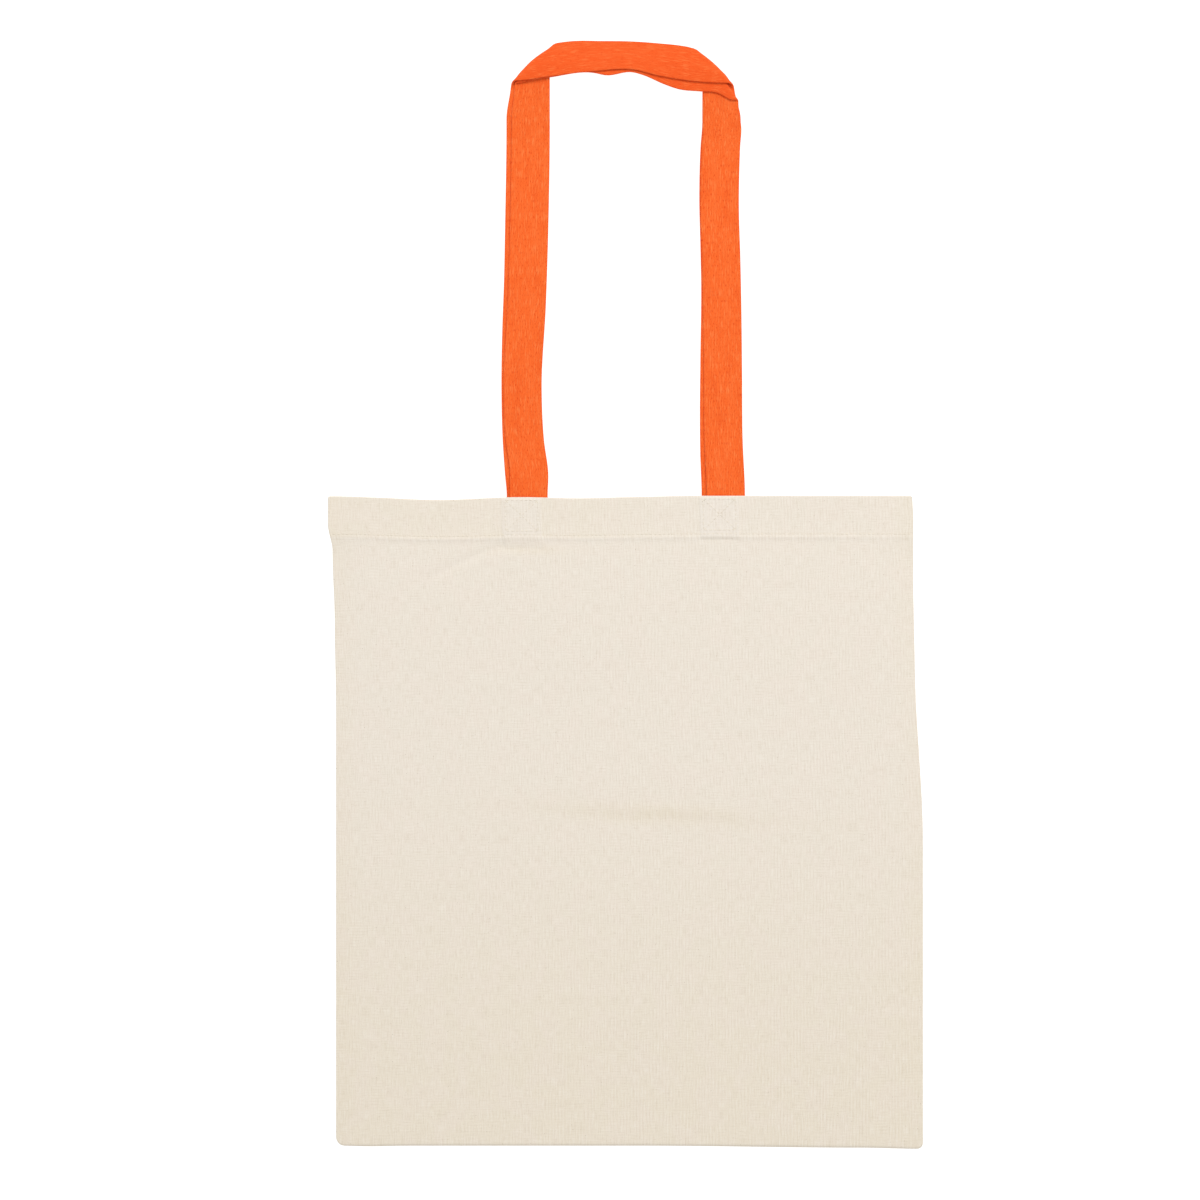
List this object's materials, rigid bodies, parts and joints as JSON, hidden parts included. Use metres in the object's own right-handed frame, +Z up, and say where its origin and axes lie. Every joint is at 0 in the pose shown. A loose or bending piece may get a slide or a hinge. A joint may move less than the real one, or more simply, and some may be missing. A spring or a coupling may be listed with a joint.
{
  "type": "canvas tote bag",
  "caption": "Flat open-topped tote bag of natural canvas with a stitched hem and long handles of orange cotton tape.",
  "frame": {"origin": "middle of the back panel's outer face, the face that the bag lies on", "axes": "+X to the bag's right, +Y from the bottom fold to the mouth and the handles, +Z up through the layers from the back panel to the front panel"},
  "size_m": [0.38, 0.719, 0.0068],
  "materials": {
    "canvas": "natural plain-weave cotton canvas, matt, with small dark seed flecks",
    "orange_tape": "woven cotton webbing, matt, fine lengthwise ribs",
    "sewing_thread": "spun cotton sewing thread, matt"
  },
  "bodies": {
    "back": {"back_panel": "canvas", "left_side_seam": "canvas", "right_side_seam": "canvas", "left_overlock_thread": "sewing_thread", "right_overlock_thread": "sewing_thread", "back_hem_stitching": "sewing_thread", "back_left_handle_end": "orange_tape", "back_right_handle_end": "orange_tape", "back_left_box_stitching": "sewing_thread", "back_right_box_stitching": "sewing_thread"},
    "front": {"front_panel": "canvas", "front_hem_stitching": "sewing_thread", "front_left_handle_end": "orange_tape", "front_right_handle_end": "orange_tape", "front_left_box_stitching": "sewing_thread", "front_right_box_stitching": "sewing_thread"},
    "front_handle": {"front_handle": "orange_tape"},
    "back_handle": {"back_handle": "orange_tape"}
  },
  "joints": [
    {"name": "mouth_open", "type": "hinge", "parent": "back", "child": "front", "pos_m": [0, -0.2077, 0.0033], "axis": [1, 0, 0], "range_deg": [0, 12]},
    {"name": "front_handle_swing", "type": "hinge", "parent": "front", "child": "front_handle", "pos_m": [0, 0.2113, 0.00685], "axis": [1, 0, 0], "range_deg": [0, 180]},
    {"name": "back_handle_swing", "type": "hinge", "parent": "back", "child": "back_handle", "pos_m": [0, 0.2113, 0.00035], "axis": [1, 0, 0], "range_deg": [-180, 0]}
  ]
}
